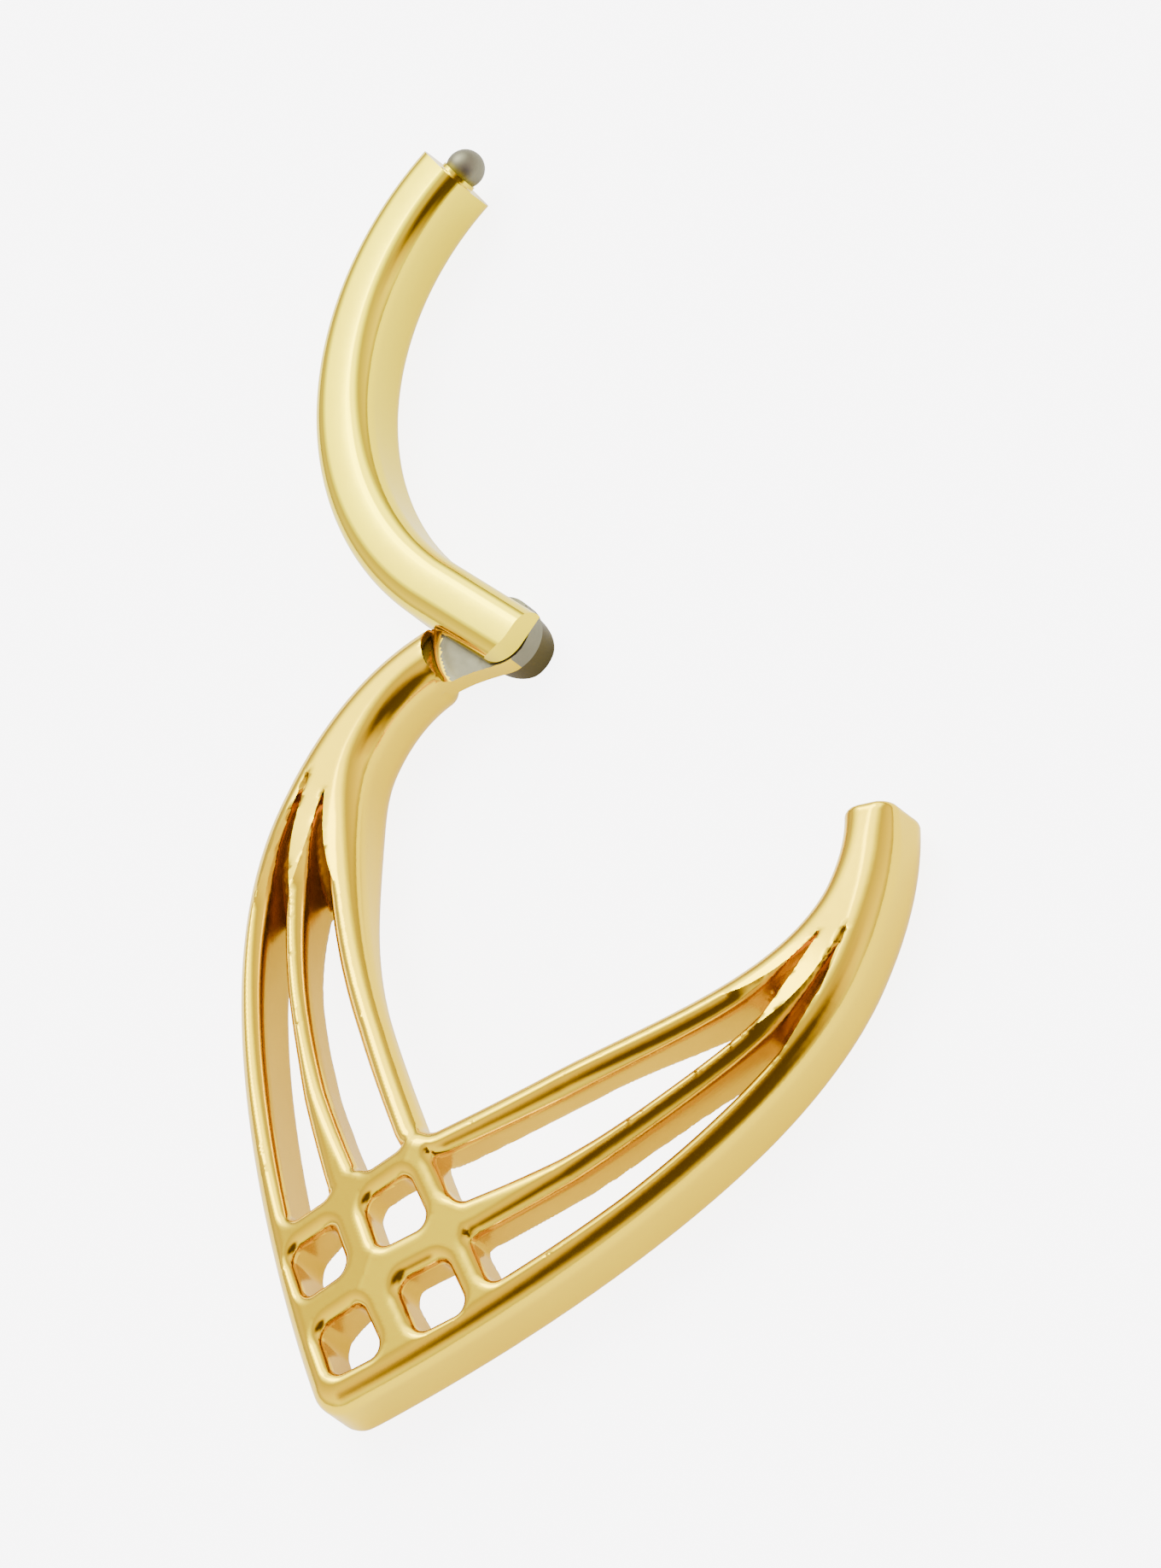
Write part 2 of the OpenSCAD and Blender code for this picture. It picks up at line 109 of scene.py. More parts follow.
def filleted(a: np.ndarray, b: np.ndarray, r: float) -> np.ndarray:
    """The lesser of two distances, with the inner corner between them filled."""
    return np.minimum(a, b) - np.maximum(r - np.abs(a - b), 0.0) ** 2 / (4 * r)


def cross(a: np.ndarray, b: np.ndarray) -> np.ndarray:
    """Cross product of plane vectors."""
    return a[..., 0] * b[..., 1] - a[..., 1] * b[..., 0]


class Graph:
    """A short way to write a node tree."""

    def __init__(self, tree: bpy.types.NodeTree) -> None:
        """Keeps the tree."""
        self.tree = tree

    def add(self, kind: str, inputs: dict | None = None, **settings: object) -> bpy.types.Node:
        """A new node.

        Args:
            kind: Type of the node.
            inputs: Outputs or values for its inputs, by name or number.
            settings: Its own settings.

        Returns:
            The node.
        """
        node = self.tree.nodes.new(kind)
        for name, value in settings.items():
            setattr(node, name, value)
        for key, value in (inputs or {}).items():
            self.feed(node.inputs[key], value)
        return node

    def feed(self, socket: bpy.types.NodeSocket, value: object) -> None:
        """Links an output to an input, or sets the input's own value.

        Args:
            socket: The input.
            value: The output or the value.
        """
        if isinstance(value, bpy.types.NodeSocket):
            self.tree.links.new(value, socket)
        else:
            socket.default_value = value

    def math(self, operation: str, *values: object) -> bpy.types.NodeSocket:
        """Result of a math node on numbers or outputs."""
        return self.add("ShaderNodeMath", dict(enumerate(values)), operation=operation).outputs[0]

    def vector(self, operation: str, a: object, b: object) -> bpy.types.Node:
        """A vector math node on two outputs or vectors."""
        return self.add("ShaderNodeVectorMath", {0: a, 1: b}, operation=operation)


class Metal(Enum):
    """The finishes: the record's three slots, a near-black steel that paints shade on the back ear's round
    side, and a darker gold that paints shade on the openings' walls.
    """

    FRONT = "gold_front"
    GATE = "gold_gate"
    STEEL = "steel"
    # A near-black steel that paints shade on the back ear's round side.
    DARK = "dark_steel"
    # A darker gold that paints shade on the walls inside the openings.
    DEEP = "deep_gold"


@dataclass(frozen=True)
class Finish:
    """A polished metal with faint clouding, fine polishing marks and a trace of waviness."""

    name: str
    pale: tuple[float, float, float]
    deep: tuple[float, float, float]
    shine: float
    cloud: float
    marks: float
    wave: float

    CLOUD_SCALE = 420.0
    MARK_SCALE = 5200.0
    MARK_STRETCH = (1.0, 1.0, 5.0)
    MARK_DEPTH = 0.000002
    WAVE_DEPTH = 0.00002
    GLOSS = (0.75, 1.35)

    def material(self) -> bpy.types.Material:
        """Node material of the finish, on Object coordinates.

        Returns:
            The material.
        """
        made = bpy.data.materials.new(self.name)
        made.use_nodes = True
        graph = Graph(made.node_tree)
        place = graph.add("ShaderNodeTexCoord").outputs["Object"]
        clouds = graph.add("ShaderNodeTexNoise", {"Vector": place, "Scale": self.CLOUD_SCALE, "Detail": 3.0})
        tint = graph.add("ShaderNodeValToRGB", {"Fac": clouds.outputs["Fac"]})
        for element, side, colour in zip(tint.color_ramp.elements, (-1, 1), (self.deep, self.pale)):
            element.position = 0.5 + side * self.cloud
            element.color = (*colour, 1.0)
        stretch = graph.add("ShaderNodeMapping", {"Vector": place, "Scale": self.MARK_STRETCH})
        grain = graph.add("ShaderNodeTexNoise", {
            "Vector": stretch.outputs["Vector"], "Scale": self.MARK_SCALE, "Detail": 4.0,
        })
        gloss = graph.add("ShaderNodeMapRange", {
            "Value": grain.outputs["Fac"],
            "To Min": self.shine * self.GLOSS[0],
            "To Max": self.shine * self.GLOSS[1],
        })
        fine = graph.add("ShaderNodeBump", {
            "Height": grain.outputs["Fac"], "Strength": self.marks, "Distance": self.MARK_DEPTH,
        })
        soft = graph.add("ShaderNodeBump", {
            "Height": clouds.outputs["Fac"], "Strength": self.wave, "Distance": self.WAVE_DEPTH,
            "Normal": fine.outputs["Normal"],
        })
        shader = made.node_tree.nodes["Principled BSDF"].inputs
        shader["Metallic"].default_value = 1.0
        graph.feed(shader["Base Color"], tint.outputs["Color"])
        graph.feed(shader["Roughness"], gloss.outputs["Result"])
        graph.feed(shader["Normal"], soft.outputs["Normal"])
        return made


FINISHES: dict[Metal, Finish] = {
    Metal.FRONT: Finish("warm_gold", (0.92, 0.67, 0.006), (0.88, 0.62, 0.004), 0.13, 0.25, 0.25, 0.10),
    Metal.GATE: Finish("lemon_gold", (0.96, 0.80, 0.004), (0.94, 0.75, 0.003), 0.12, 0.25, 0.20, 0.08),
    Metal.STEEL: Finish("bare_steel", (0.24, 0.235, 0.15), (0.17, 0.165, 0.10), 0.45, 0.2, 0.35, 0.10),
    # Darker gold of the openings' walls: painted shade in the holes and windows.
    Metal.DEEP: Finish("deep_gold", (0.68, 0.45, 0.006), (0.60, 0.38, 0.004), 0.2, 0.25, 0.30, 0.10),
    # Near-black tone of the back ear's round side: painted shade.
    Metal.DARK: Finish("dark_steel", (0.10, 0.085, 0.03), (0.05, 0.04, 0.012), 0.3, 0.2, 0.35, 0.10),
}


class Finishes:
    """The materials, each made once."""

    def __init__(self) -> None:
        """Makes no material until one is asked for."""
        self._made: dict[Metal, bpy.types.Material] = {}

    def get(self, metal: Metal) -> bpy.types.Material:
        """The material of a metal.

        Args:
            metal: Which metal.

        Returns:
            Its material, made on the first call.
        """
        if metal not in self._made:
            self._made[metal] = FINISHES[metal].material()
        return self._made[metal]


def new_piece(name: str, mesh: bpy.types.Mesh) -> bpy.types.Object:
    """An object at the origin that shows a mesh.

    Args:
        name: The object's name.
        mesh: What it shows.

    Returns:
        The object.
    """
    piece = bpy.data.objects.new(name, mesh)
    bpy.context.scene.collection.objects.link(piece)
    return piece


def to_frame(points: np.ndarray) -> np.ndarray:
    """Points counted from the lattice's centre in millimetres, in the frame's metres."""
    return (points - np.array([0.0, ORIGIN_LEVEL, 0.0])) * MM


class Contour:
    """Makes a mesh on the zero surface of a distance function, with its sharp edges kept."""

    PROBE = 0.002
    CALM = 0.06

    def __init__(self, low: tuple[float, ...], high: tuple[float, ...], step: float) -> None:
        """Lays out the grid.

        Args:
            low: Lowest corner of the grid.
            high: Highest corner of the grid.
            step: Spacing of the grid.
        """
        self.low = np.array(low)
        self.step = step
        self.count = np.ceil((np.array(high) - self.low) / step).astype(int) + 1

    def axis(self, k: int) -> np.ndarray:
        """Grid levels along one axis."""
        return self.low[k] + self.step * np.arange(self.count[k])

    def mesh(
        self, values: np.ndarray, distance: Callable[[np.ndarray], np.ndarray]
    ) -> tuple[np.ndarray, np.ndarray]:
        """Points and four-sided faces of the surface.

        Args:
            values: The distance on the grid.
            distance: The distance at any points.

        Returns:
            The points, and the faces as indices into them.
        """
        inside = values < 0
        cells = self.count - 1
        places, owners, quads = [], [], []
        for k in range(3):
            one, two = (k + 1) % 3, (k + 2) % 3
            first = [slice(None)] * 3
            second = [slice(None)] * 3
            first[k], second[k] = slice(0, -1), slice(1, None)
            node = np.argwhere(inside[tuple(first)] != inside[tuple(second)])
            keep = np.all((node[:, [one, two]] > 0) & (node[:, [one, two]] < cells[[one, two]]), axis=1)
            node = node[keep]
            a = values[tuple(node.T)]
            up = node.copy()
            up[:, k] += 1
            b = values[tuple(up.T)]
            place = self.low + self.step * node
            place[:, k] += self.step * a / (a - b)
            around = []
            for back_one, back_two in ((1, 1), (0, 1), (0, 0), (1, 0)):
                cell = node.copy()
                cell[:, one] -= back_one
                cell[:, two] -= back_two
                around.append(np.ravel_multi_index(tuple(cell.T), tuple(cells)))
            quad = np.stack(around, axis=1)
            owners += around
            places += [place] * 4
            quads.append(np.where((a < 0)[:, None], quad, quad[:, ::-1]))
        spots = np.concatenate([places[4 * k] for k in range(3)])
        slope = self.slopes(spots, distance)
        starts = np.cumsum([0] + [len(places[4 * k]) for k in range(3)])
        slope_of = np.concatenate([slope[starts[k]:starts[k + 1]] for k in range(3) for _ in range(4)])
        place_of = np.concatenate(places)
        owner = np.concatenate(owners)
        used, index = np.unique(owner, return_inverse=True)
        LOG.info("contour: %d crossings in %d cells", len(spots), len(used))
        vertex = self.settle(index, len(used), place_of, slope_of)
        low = self.low + self.step * np.stack(np.unravel_index(used, tuple(cells)), axis=1)
        vertex = np.clip(vertex, low, low + self.step)
        faces = np.searchsorted(used, np.concatenate(quads))
        return vertex, faces

    def slopes(self, points: np.ndarray, distance: Callable[[np.ndarray], np.ndarray]) -> np.ndarray:
        """Unit slopes of the distance at points.

        Args:
            points: Where the slopes are wanted.
            distance: The distance at any points.

        Returns:
            A slope for each point.
        """
        here = distance(points)
        moves = self.PROBE * np.eye(3)
        found = np.stack([distance(points + move) - here for move in moves], axis=1)
        return found / np.maximum(np.linalg.norm(found, axis=1), 1e-9)[:, None]

    def settle(self, index: np.ndarray, count: int, places: np.ndarray, slopes: np.ndarray) -> np.ndarray:
        """The point in each cell that lies best on the planes through its crossings.

        Args:
            index: The cell that each crossing belongs to.
            count: Number of cells.
            places: Places of the crossings.
            slopes: Slopes of the distance there.

        Returns:
            A point for each cell.
        """

        def gathered(weights: np.ndarray) -> np.ndarray:
            """Sum of the weights over each cell."""
            return np.bincount(index, weights=weights, minlength=count)

        number = np.bincount(index, minlength=count)
        middle = np.stack([gathered(places[:, k]) / number for k in range(3)], axis=1)
        offset = np.einsum("ij,ij->i", slopes, places - middle[index])
        left = np.empty((count, 3, 3))
        right = np.empty((count, 3))
        for i in range(3):
            right[:, i] = gathered(slopes[:, i] * offset)
            for j in range(3):
                left[:, i, j] = gathered(slopes[:, i] * slopes[:, j])
        left += self.CALM * np.eye(3)
        return middle + np.linalg.solve(left, right[:, :, None])[:, :, 0]


@dataclass
class Outline:
    """One outline of the front: its right-hand side, from the V's corner to the arm's end."""

    point: float
    corner: float
    half: float
    level: float
    handles: tuple[float, float, float, float]
    end: np.ndarray

    def __post_init__(self) -> None:
        """Works out the two curves and the fine line."""
        v_dir = heading(90 - V_HALF)
        arm = heading(ARM_HEADING)
        middle = np.array([0.0, self.point + self.corner / math.sin(math.radians(V_HALF))])
        start = middle + self.corner * heading(-V_HALF)
        wide = np.array([self.half, self.level])
        below, above = np.array([0.0, self.handles[1]]), np.array([0.0, self.handles[2]])
        self.curves = (
            np.array([start, start + self.handles[0] * v_dir, wide - below, wide]),
            np.array([wide, wide + above, self.end - self.handles[3] * arm, self.end]),
        )
        arc = [middle + self.corner * heading(a) for a in np.linspace(-90, -V_HALF, 9)[:-1]]
        side = self.along(np.linspace(0, 2, 161))
        self.line = np.concatenate([np.array(arc), side, [self.end + PAST * arm]])

    def along(self, s: np.ndarray) -> np.ndarray:
        """Places on the outline, from 0 at the corner to 1 at the widest level and 2 at the end.

        Args:
            s: How far along the outline.

        Returns:
            The places.
        """
        s = np.asarray(s, dtype=float)
        t = np.where(s < 1, s, s - 1)[..., None]
        c = np.where((s < 1)[..., None, None], self.curves[0], self.curves[1])
        return (
            (1 - t) ** 3 * c[..., 0, :]
            + 3 * (1 - t) ** 2 * t * c[..., 1, :]
            + 3 * (1 - t) * t * t * c[..., 2, :]
            + t**3 * c[..., 3, :]
        )

    def side(self, points: np.ndarray) -> np.ndarray:
        """Distance of plane points to the line, positive to its left.

        Args:
            points: The plane points.

        Returns:
            The distances.
        """
        a, d = self.line[:-1], np.diff(self.line, axis=0)
        long = np.einsum("ij,ij->i", d, d)
        found = np.empty(len(points))
        for part in np.array_split(np.arange(len(points)), len(points) // ROWS + 1):
            x = points[part, None, 0] - a[None, :, 0]
            y = points[part, None, 1] - a[None, :, 1]
            f = np.clip((x * d[:, 0] + y * d[:, 1]) / long, 0, 1)
            away = (x - f * d[:, 0]) ** 2 + (y - f * d[:, 1]) ** 2
            near = away.argmin(axis=1)
            row = np.arange(len(part))
            turn = d[near, 0] * y[row, near] - d[near, 1] * x[row, near]
            found[part] = np.sqrt(away[row, near]) * np.where(turn < 0, -1, 1)
        return found


@dataclass
class Hinge:
    """Layout of the hinge, the gate's path and the catch."""

    pin: tuple[float, float] = (-3.47, 10.12)
    pin_r: float = 0.22
    tongue_r: float = 0.56
    ear_r: float = 0.51
    ear_over: float = 0.54
    shoulder_r: float = 1.13
    tongue_part: float = 0.27
    side_gap: float = 0.03
    pin_blind: float = 0.2
    gate_offset: tuple[float, float] = (-0.4, 4.86)
    gate_radius: float = 4.66
    gate_open: float = 133.0
    end_heading: float = 157.2
    ball_r: float = 0.3
    ball_out: float = 0.2
    neck_r: float = 0.22
    collar_r: float = 0.3
    collar_high: float = 0.07
    neck_sunk: float = 0.6
    socket_gap: float = 0.03
    end_gap: float = 0.04

    def __post_init__(self) -> None:
        """Works out the places that follow from the sizes."""
        self.tongue_low = BAR_THICK * (1 - self.tongue_part) / 2
        self.tongue_high = BAR_THICK - self.tongue_low
        pin = np.array(self.pin)
        self.centre = pin + np.array(self.gate_offset)
        to_pin = pin - self.centre
        far = float(np.linalg.norm(to_pin))
        seen = math.degrees(math.atan2(to_pin[1], to_pin[0])) + 360
        self.straight_heading = seen - math.degrees(math.acos(self.gate_radius / far))
        self.straight_long = math.sqrt(far**2 - self.gate_radius**2)
        self.gate_end = self.centre + self.gate_radius * heading(self.end_heading)
        self.gate_end_out = self.end_heading - 90
        reach = self.gate_end - pin
        closed = math.degrees(math.atan2(reach[1], reach[0])) - self.gate_open
        self.catch_point = pin + float(np.linalg.norm(reach)) * heading(closed)
        self.catch_out = self.gate_end_out - self.gate_open
        self.catch_travel = closed - 90


@dataclass
class Plane:
    """What the front's shape needs to know at places of the plane."""

    outer: np.ndarray
    inner: np.ndarray
    front: np.ndarray
    back: np.ndarray
    turn: np.ndarray
    tip: np.ndarray
    holes: list[np.ndarray]
    windows: list[tuple[np.ndarray, np.ndarray, np.ndarray]]
    ends: np.ndarray
    shoulder: np.ndarray
    tongue: np.ndarray
    catch: np.ndarray
    across: np.ndarray
    travel: np.ndarray


@dataclass
class LatticeFront:
    """The V-shaped lattice with both arms, the hinge tongue and the catch socket."""

    hinge: Hinge
    step: float = 0.05
    quick_share: float = 1.8
    bar_round: float = 0.42
    arm_back_round: float = 0.42
    room: tuple[tuple[float, ...], ...] = ((-5.95, -2.25, -0.06), (5.95, 10.95, 1.92))
    outer_point: float = 2.25
    inner_point: float = 2.2
    front_slope: float = 0.18
    back_depth: float = 1.05
    back_power: float = 2.6
    end_round: float = 0.13
    front_round: float = 0.34
    back_round: float = 0.3
    fade: tuple[float, float] = (3.6, 7.0)
    pitch: float = 1.5
    band: float = 0.61
    hole_corner: float = 0.22
    band_edge: float = 0.2
    arm_edge: float = 0.3
    back_edge: float = 0.06
    floor_round: float = 0.4
    floor_slope: float = 2.2
    floor_soft: float = 0.02
    tip_round: float = 0.15
    tip_fade: tuple[float, float] = (8.4, 9.8)
    shoulder_soft: float = 0.26
    shoulder_fillet: float = 0.14
    inner_band: float = 0.62
    middle_band: float = 0.38
    outer_share: float = 0.44
    outer_band: float = 0.40
    throughs: tuple[float, float] = (0.84, 0.81)
    groove_ends: tuple[float, float] = (1.36, 1.46)
    groove_fade: float = 1.9
    groove_deep: float = 2.5
    groove_lead: float = 0.06
    groove_long: float = 0.5
    groove_power: int = 5
    sharp: float = 38.0
    finish_gap: float = 0.02
    flat_limit: float = 0.92
    side_limit: float = 0.9
    round_way: float = 39.5
    round_from: float = 0.1
    wall_skin: float = 0.03
    outer: Outline = field(init=False)
    inner: Outline = field(init=False)

    def __post_init__(self) -> None:
        """Lays out the outlines and the table of the windows."""
        half = ARM_HALF * heading(ARM_HEADING - 90)
        end = np.array(ARM_END)
        self.outer = Outline(
            point=-self.outer_point, corner=0.5, half=5.81, level=6.5,
            handles=(1.0, 3.38, 2.925, 0.35), end=end + half,
        )
        self.inner = Outline(
            point=self.inner_point, corner=0.3, half=4.54, level=7.7,
            handles=(0.5, 1.694, 1.463, 0.42), end=end - half,
        )
        self.rim = math.sin(math.radians(V_HALF))
        self.panel = (self.inner_point + self.outer_point) * self.rim
        self.v_dir = heading(90 - V_HALF)
        self.v_other = heading(90 + V_HALF)
        self.v_square = heading(V_HALF)
        self.start = self.inner_point * self.rim
        self.hole_half = (self.pitch - self.band) / 2
        self.tabulate()

    def tabulate(self) -> None:
        """Fills the table of the windows' ways, widths and edges, for places along the arm."""
        self.s = np.linspace(0, 2, 401)
        self.base = self.outer.along(self.s)
        self.first = float(np.interp(self.start, self.base[:200] @ self.v_square, self.s[:200]))
        d = np.gradient(self.base, axis=0)
        normal = np.stack([-d[:, 1], d[:, 0]], axis=1)
        normal /= np.linalg.norm(normal, axis=1)[:, None]
        f = np.clip(4 * (self.s - self.first), 0, 1)[:, None]
        self.way = self.v_other * (1 - f) + normal * f
        self.way /= np.linalg.norm(self.way, axis=1)[:, None]
        wide = self.wide = np.array([self.width_at(p, n) for p, n in zip(self.base, self.way)])
        f = np.clip((self.s - self.first) / (1 - self.first), 0, 1)
        side = self.pitch / 2 + self.hole_half
        first_outer, first_inner = self.outer_point * self.rim - side, self.start - side
        outer = first_outer + (self.outer_band - first_outer) * f
        inner = first_inner + (self.inner_band - first_inner) * f
        narrow = np.sin(np.pi / 2 * np.clip(2 * f, 0, 1))
        middle = self.band + (self.middle_band - self.band) * narrow
        share = 0.5 + (self.outer_share - 0.5) * np.clip(4 * f, 0, 1)
        free = wide - outer - middle - inner
        self.halves = ((1 - share) * free / 2, share * free / 2)
        self.middles = (wide - inner - self.halves[0], outer + self.halves[1])
        widen = self.band_edge + (self.arm_edge - self.band_edge) * np.clip(3 * f, 0, 1)
        self.edges = tuple(
            widen * np.clip(self.groove_fade * (end - self.s), 0.0, 1) for end in self.groove_ends
        )
        run = self.s + self.groove_lead
        past = [np.clip((run - through) / self.groove_long, 0, 1) for through in self.throughs]
        self.depths = tuple(
            edge + (self.groove_deep - edge) * (1 - gone) ** self.groove_power
            for edge, gone in zip(self.edges, past)
        )

    def width_at(self, place: np.ndarray, way: np.ndarray) -> float:
        """Width of the panel from a place on the outer line, across to the inner line.

        Args:
            place: Where the line across starts.
            way: Its direction.

        Returns:
            The width, at most the lattice's own.
        """
        a, d = self.inner.line[:-1], np.diff(self.inner.line, axis=0)
        q = cross(way, d)
        q = np.where(np.abs(q) < 1e-9, 1e-9, q)
        away = cross(a - place, d) / q
        part = cross(a - place, way[None, :]) / q
        hit = away[(away > 0) & (part >= 0) & (part <= 1)]
        return float(min([self.panel, *hit]))

    def rhombus(self, points: np.ndarray, middle: np.ndarray) -> np.ndarray:
        """Distance to a rounded diamond opening, negative inside it.

        Args:
            points: The plane points.
            middle: The opening's middle.

        Returns:
            The distances.
        """
        inner = self.hole_half - self.hole_corner
        k = inner / math.sin(math.radians(2 * V_HALF))
        right = middle + k * (self.v_dir - self.v_other)
        top = middle + k * (self.v_dir + self.v_other)
        corners = [right, top, 2 * middle - right, 2 * middle - top]
        near = np.full(len(points), 1e9)
        inside = np.ones(len(points), dtype=bool)
        for a, b in zip(corners, corners[1:] + corners[:1]):
            d, e = b - a, points - a
            f = np.clip(e @ d / (d @ d), 0, 1)
            near = np.minimum(near, np.linalg.norm(e - f[:, None] * d, axis=1))
            inside &= cross(d[None, :], e) > 0
        return np.where(inside, -near, near) - self.hole_corner

    def window_place(self, points: np.ndarray) -> tuple[np.ndarray, np.ndarray]:
        """Where points lie on the arm: the place along it and the distance across.

        Args:
            points: The plane points, on the right-hand side.

        Returns:
            The places along the arm and the distances across it.
        """
        s, t = np.empty(len(points)), np.empty(len(points))
        for part in np.array_split(np.arange(len(points)), len(points) // ROWS + 1):
            x = points[part, None, 0] - self.base[None, :, 0]
            y = points[part, None, 1] - self.base[None, :, 1]
            off = self.way[:, 0] * y - self.way[:, 1] * x
            over = self.way[:, 0] * x + self.way[:, 1] * y
            cost = np.abs(off) + np.maximum(-0.1 - over, 0) + np.maximum(over - self.wide - 0.1, 0)
            row = np.arange(len(part))
            k = np.clip(cost.argmin(axis=1), 1, len(self.s) - 2)
            before, after = off[row, k - 1], off[row, k + 1]
            f = np.clip(-off[row, k] / np.where(np.abs(after - before) < 1e-9, 1e-9, after - before), -1, 1)
            s[part] = self.s[k] + 2 * f * (self.s[1] - self.s[0])
            t[part] = over[row, k] + f * (over[row, k + 1] - over[row, k - 1])
        return s, t

    def plane(self, xy: np.ndarray) -> Plane:
        """Everything that the shape needs at places of the plane.

        Args:
            xy: The plane points.

        Returns:
            The plane's values there.
        """
        p = np.stack([np.abs(xy[:, 0]), xy[:, 1]], axis=1)
        outer = self.outer.side(p)
        inner = -self.inner.side(p)
        turn = 1 - eased((p[:, 1] - self.fade[0]) / (self.fade[1] - self.fade[0]))
        tip = eased((xy[:, 1] - self.tip_fade[0]) / (self.tip_fade[1] - self.tip_fade[0])) * (xy[:, 0] > 0)
        deep = np.clip(outer, 0, self.panel)
        front = BAR_THICK + self.front_slope * deep * turn
        back = self.back_depth * (1 - (1 - deep / self.panel) ** self.back_power) * turn
        k = self.pitch / 2 / math.sin(math.radians(2 * V_HALF))
        centres = (
            k * (self.v_dir + self.v_other),
            k * (self.v_dir - self.v_other),
            -k * (self.v_dir + self.v_other),
        )
        s, t = self.window_place(p)
        past = self.start - p @ self.v_square
        windows = []
        for half, middle, edge, depth in zip(self.halves, self.middles, self.edges, self.depths):
            off = np.hypot(t - np.interp(s, self.s, middle), self.floor_soft)
            walls = rounded(off - np.interp(s, self.s, half), past, self.hole_corner)
            floor = np.interp(s, self.s, depth) - self.floor_slope * off
            windows.append((walls, np.interp(s, self.s, edge) + 1e-4, floor))
        hinge = self.hinge
        pin, catch = np.array(hinge.pin), hinge.catch_point
        out, way = heading(hinge.catch_out), heading(hinge.catch_travel)
        from_pin = np.linalg.norm(xy - pin, axis=1)
        to_end = (p - np.array(ARM_END)) @ heading(ARM_HEADING)
        along = (xy - catch) @ out
        ends = np.where(xy[:, 0] > 0, np.maximum(to_end, hinge.end_gap - along), to_end)
        swept = xy - catch - hinge.ball_out * out
        return Plane(
            outer, inner, front, back, turn, tip, [self.rhombus(p, c) for c in centres], windows, ends,
            np.where(xy[:, 0] < 0, hinge.shoulder_r - from_pin, -OPEN),
            np.minimum(from_pin - hinge.tongue_r, np.maximum(np.maximum(-outer, -inner), to_end)),
            along, cross(out[None, :], xy - catch),
            np.hypot(cross(way[None, :], swept), np.maximum(swept @ way, 0)),
        )

    def solid(self, at: Plane, z: np.ndarray) -> np.ndarray:
        """Distance to the front's surface, negative inside it.

        Args:
            at: The plane's values, in any shape that goes with z.
            z: Heights.

        Returns:
            The distance.
        """
        over, under = z - at.front, at.back - z
        top_round = self.bar_round + (self.front_round - self.bar_round) * at.turn
        back_round = self.arm_back_round + (self.back_round - self.arm_back_round) * at.turn
        none = np.zeros(np.broadcast(over, under).shape)
        top, bottom = none, none
        outer_round = top_round + (self.tip_round - top_round) * at.tip
        through = none + OPEN
        walls = [(at.outer, outer_round, back_round, through), (at.inner, top_round, back_round, through)]
        walls += [(wall, self.band_edge, self.back_edge, through) for wall in at.holes]
        walls += [(wall, edge, self.back_edge, depth) for wall, edge, depth in at.windows]
        for wall, front_edge, back_edge, depth in walls:
            cut = filleted(rounded(over, -wall, front_edge), over + depth, self.floor_round)
            top = joined(top, np.maximum(cut - over, 0))
            cut = np.minimum(rounded(under, -wall, back_edge), over + depth)
            bottom = joined(bottom, np.maximum(cut - under, 0))
        body = np.maximum(over + top, under + bottom)
        body = rounded(body, at.ends, self.end_round)
        hinge = self.hinge
        soft = np.where(z < BAR_THICK / 2, self.shoulder_soft, 1e-4)
        body = rounded(body, at.shoulder, soft)
        room = rounded(-at.shoulder, hinge.tongue_high - z, self.shoulder_fillet)
        high = np.maximum(-room, z - hinge.tongue_high - self.shoulder_fillet)
        tongue = np.maximum(at.tongue, np.maximum(high, hinge.tongue_low - z))
        tongue = np.maximum(tongue, -0.1 - at.shoulder)
        middle = z - BAR_THICK / 2
        socket = np.hypot(at.travel, middle) - hinge.ball_r - hinge.socket_gap
        collar = np.maximum(
            np.hypot(at.across, middle) - hinge.collar_r - 2 * hinge.socket_gap,
            at.catch - hinge.collar_high - 2 * hinge.end_gap,
        )
        return np.maximum(np.minimum(body, tongue), -np.minimum(socket, collar))

    def distance(self, points: np.ndarray) -> np.ndarray:
        """Distance to the front's surface at any points."""
        return self.solid(self.plane(points[:, :2]), points[:, 2])

    def grid_plane(self, x: np.ndarray, y: np.ndarray) -> Plane:
        """The plane's values on a grid, shaped to be combined with a list of heights.

        Args:
            x: Grid levels across.
            y: Grid levels up the plane.

        Returns:
            The values, with an axis left for the heights.
        """
        where = np.stack(np.meshgrid(x, y, indexing="ij"), axis=-1).reshape(-1, 2)
        flat = self.plane(where)
        shaped = {}
        for name, value in vars(flat).items():
            if name == "holes":
                shaped[name] = [v[:, None] for v in value]
            elif name == "windows":
                shaped[name] = [tuple(v[:, None] for v in w) for w in value]
            else:
                shaped[name] = value[:, None]
        return Plane(**shaped)

    def finish_faces(self, mesh: bpy.types.Mesh, centre: np.ndarray) -> None:
        """Gives the tongue's bare faces the second finish, and paints shade on the openings' walls with the
        third, a darker gold.

        Args:
            mesh: The front's mesh.
            centre: Middle of each of its faces.
        """
        normal = np.empty(len(centre) * 3)
        mesh.polygons.foreach_get("normal", normal)
        normal = normal.reshape(-1, 3)
        from_pin = centre[:, :2] - np.array(self.hinge.pin)
        near = np.linalg.norm(from_pin, axis=1) < self.hinge.shoulder_r - self.finish_gap
        flat = np.abs(normal[:, 2]) > self.flat_limit
        round_end = from_pin @ heading(self.round_way) > self.round_from
        seen = normal[:, :2] @ heading(self.hinge.straight_heading + 90) > -self.side_limit
        bare = near & (flat | (round_end & seen))
        at = self.plane(centre[:, :2])
        opening = np.minimum.reduce([*at.holes, *(wall for wall, _, _ in at.windows)])
        # Walls inside the holes and windows, below the front's rounded edge, get the darker gold as painted
        # shade.
        painted_shade_walls = (opening < self.wall_skin) & (at.front - centre[:, 2] > self.band_edge)
        mesh.polygons.foreach_set("material_index", np.where(bare, 1, np.where(painted_shade_walls, 2, 0)).astype(np.int32))

